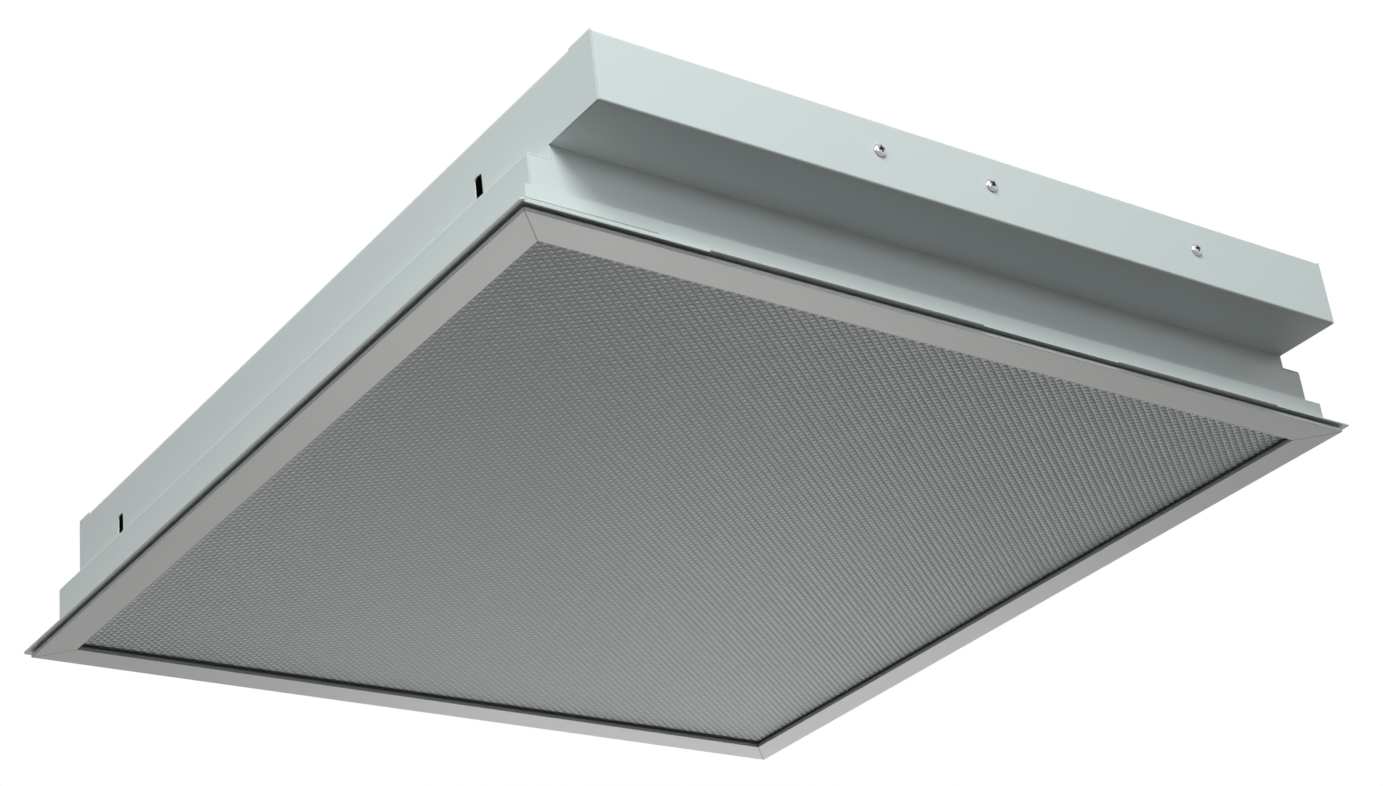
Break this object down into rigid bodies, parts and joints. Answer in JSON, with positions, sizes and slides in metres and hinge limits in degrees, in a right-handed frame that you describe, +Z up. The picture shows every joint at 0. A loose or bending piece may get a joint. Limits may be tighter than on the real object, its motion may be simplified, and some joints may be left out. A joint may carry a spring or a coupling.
{
  "type": "recessed troffer light",
  "caption": "Square recessed ceiling light with a hinged mitred door frame, a prismatic panel, a rim flange and a shallow housing with an overhanging lamp box.",
  "frame": {"origin": "centre of the rim, in the plane of its top face, which lies against the ceiling", "axes": "+Z up into the ceiling, +Y from the overhanging box towards the door's hinge, +X to the right seen from the front"},
  "size_m": [0.6, 0.6314, 0.0964],
  "materials": {
    "white_enamel": "satin white powder coat",
    "reflector_white": "gloss white enamel",
    "bright_steel": "bright zinc plate",
    "zinc_steel": "zinc plate",
    "spring_steel": "bare spring steel",
    "ballast_case": "matt white",
    "holder_plastic": "white polycarbonate",
    "rotor_plastic": "white plastic",
    "terminal_plastic": "white polyamide",
    "black_rubber": "black",
    "black_foam": "black foam",
    "clear_acrylic": "clear prismatic acrylic",
    "lamp_glass": "phosphor-coated glass",
    "cap_aluminium": "satin aluminium",
    "wire_white": "white insulation"
  },
  "bodies": {
    "housing": {"housing_body": "white_enamel", "skirt_front": "white_enamel", "skirt_back": "white_enamel", "skirt_left": "white_enamel", "skirt_right": "white_enamel", "end_plate_left": "white_enamel", "end_plate_right": "white_enamel", "front_rail": "white_enamel", "front_rail_end": "white_enamel", "reflector": "reflector_white", "reflector_wings": "reflector_white", "gear_cover": "reflector_white", "gear_cover_screws": "zinc_steel", "ballast": "ballast_case", "ballast_screws": "zinc_steel", "terminal_block": "terminal_plastic", "cord_clamp": "terminal_plastic", "cord_clamp_screws": "zinc_steel", "cable_grommet": "black_rubber", "earth_screw": "zinc_steel", "mains_wires": "wire_white", "lamp_wires_front": "wire_white", "lamp_wires_back": "wire_white", "holder_rail_front": "white_enamel", "holder_rail_back": "white_enamel", "lampholders_front": "holder_plastic", "lampholders_back": "holder_plastic", "box_screws": "bright_steel", "box_nuts": "zinc_steel", "rear_screws": "bright_steel", "rear_nuts": "zinc_steel", "hinge_leaves_fixed": "zinc_steel", "spring_catches": "spring_steel"},
    "door": {"door_rail_front": "white_enamel", "door_rail_right": "white_enamel", "door_rail_back": "white_enamel", "door_rail_left": "white_enamel", "door_upstands": "white_enamel", "corner_keys": "zinc_steel", "door_seal": "black_foam", "diffuser_gasket": "black_foam", "diffuser": "clear_acrylic", "diffuser_clips": "zinc_steel", "clip_rivets": "zinc_steel", "hinge_leaves_door": "zinc_steel", "hinge_pins": "zinc_steel", "door_strikers": "zinc_steel"},
    "lamp_1": {"lamp_tube_1": "lamp_glass", "lamp_caps_1": "cap_aluminium", "lamp_rotors_1": "rotor_plastic"},
    "lamp_2": {"lamp_tube_2": "lamp_glass", "lamp_caps_2": "cap_aluminium", "lamp_rotors_2": "rotor_plastic"},
    "lamp_3": {"lamp_tube_3": "lamp_glass", "lamp_caps_3": "cap_aluminium", "lamp_rotors_3": "rotor_plastic"},
    "lamp_4": {"lamp_tube_4": "lamp_glass", "lamp_caps_4": "cap_aluminium", "lamp_rotors_4": "rotor_plastic"}
  },
  "joints": [
    {"name": "door_hinge", "type": "hinge", "parent": "housing", "child": "door", "pos_m": [0, 0.29475, -0.0022], "axis": [1, 0, 0], "range_deg": [0, 90]},
    {"name": "lamp_1_twist", "type": "hinge", "parent": "housing", "child": "lamp_1", "pos_m": [-0.195, -0.02375, 0.069], "axis": [0, 1, 0], "range_deg": [0, 90]},
    {"name": "lamp_2_twist", "type": "hinge", "parent": "housing", "child": "lamp_2", "pos_m": [-0.065, -0.02375, 0.069], "axis": [0, 1, 0], "range_deg": [0, 90]},
    {"name": "lamp_3_twist", "type": "hinge", "parent": "housing", "child": "lamp_3", "pos_m": [0.065, -0.02375, 0.069], "axis": [0, 1, 0], "range_deg": [0, 90]},
    {"name": "lamp_4_twist", "type": "hinge", "parent": "housing", "child": "lamp_4", "pos_m": [0.195, -0.02375, 0.069], "axis": [0, 1, 0], "range_deg": [0, 90]}
  ]
}
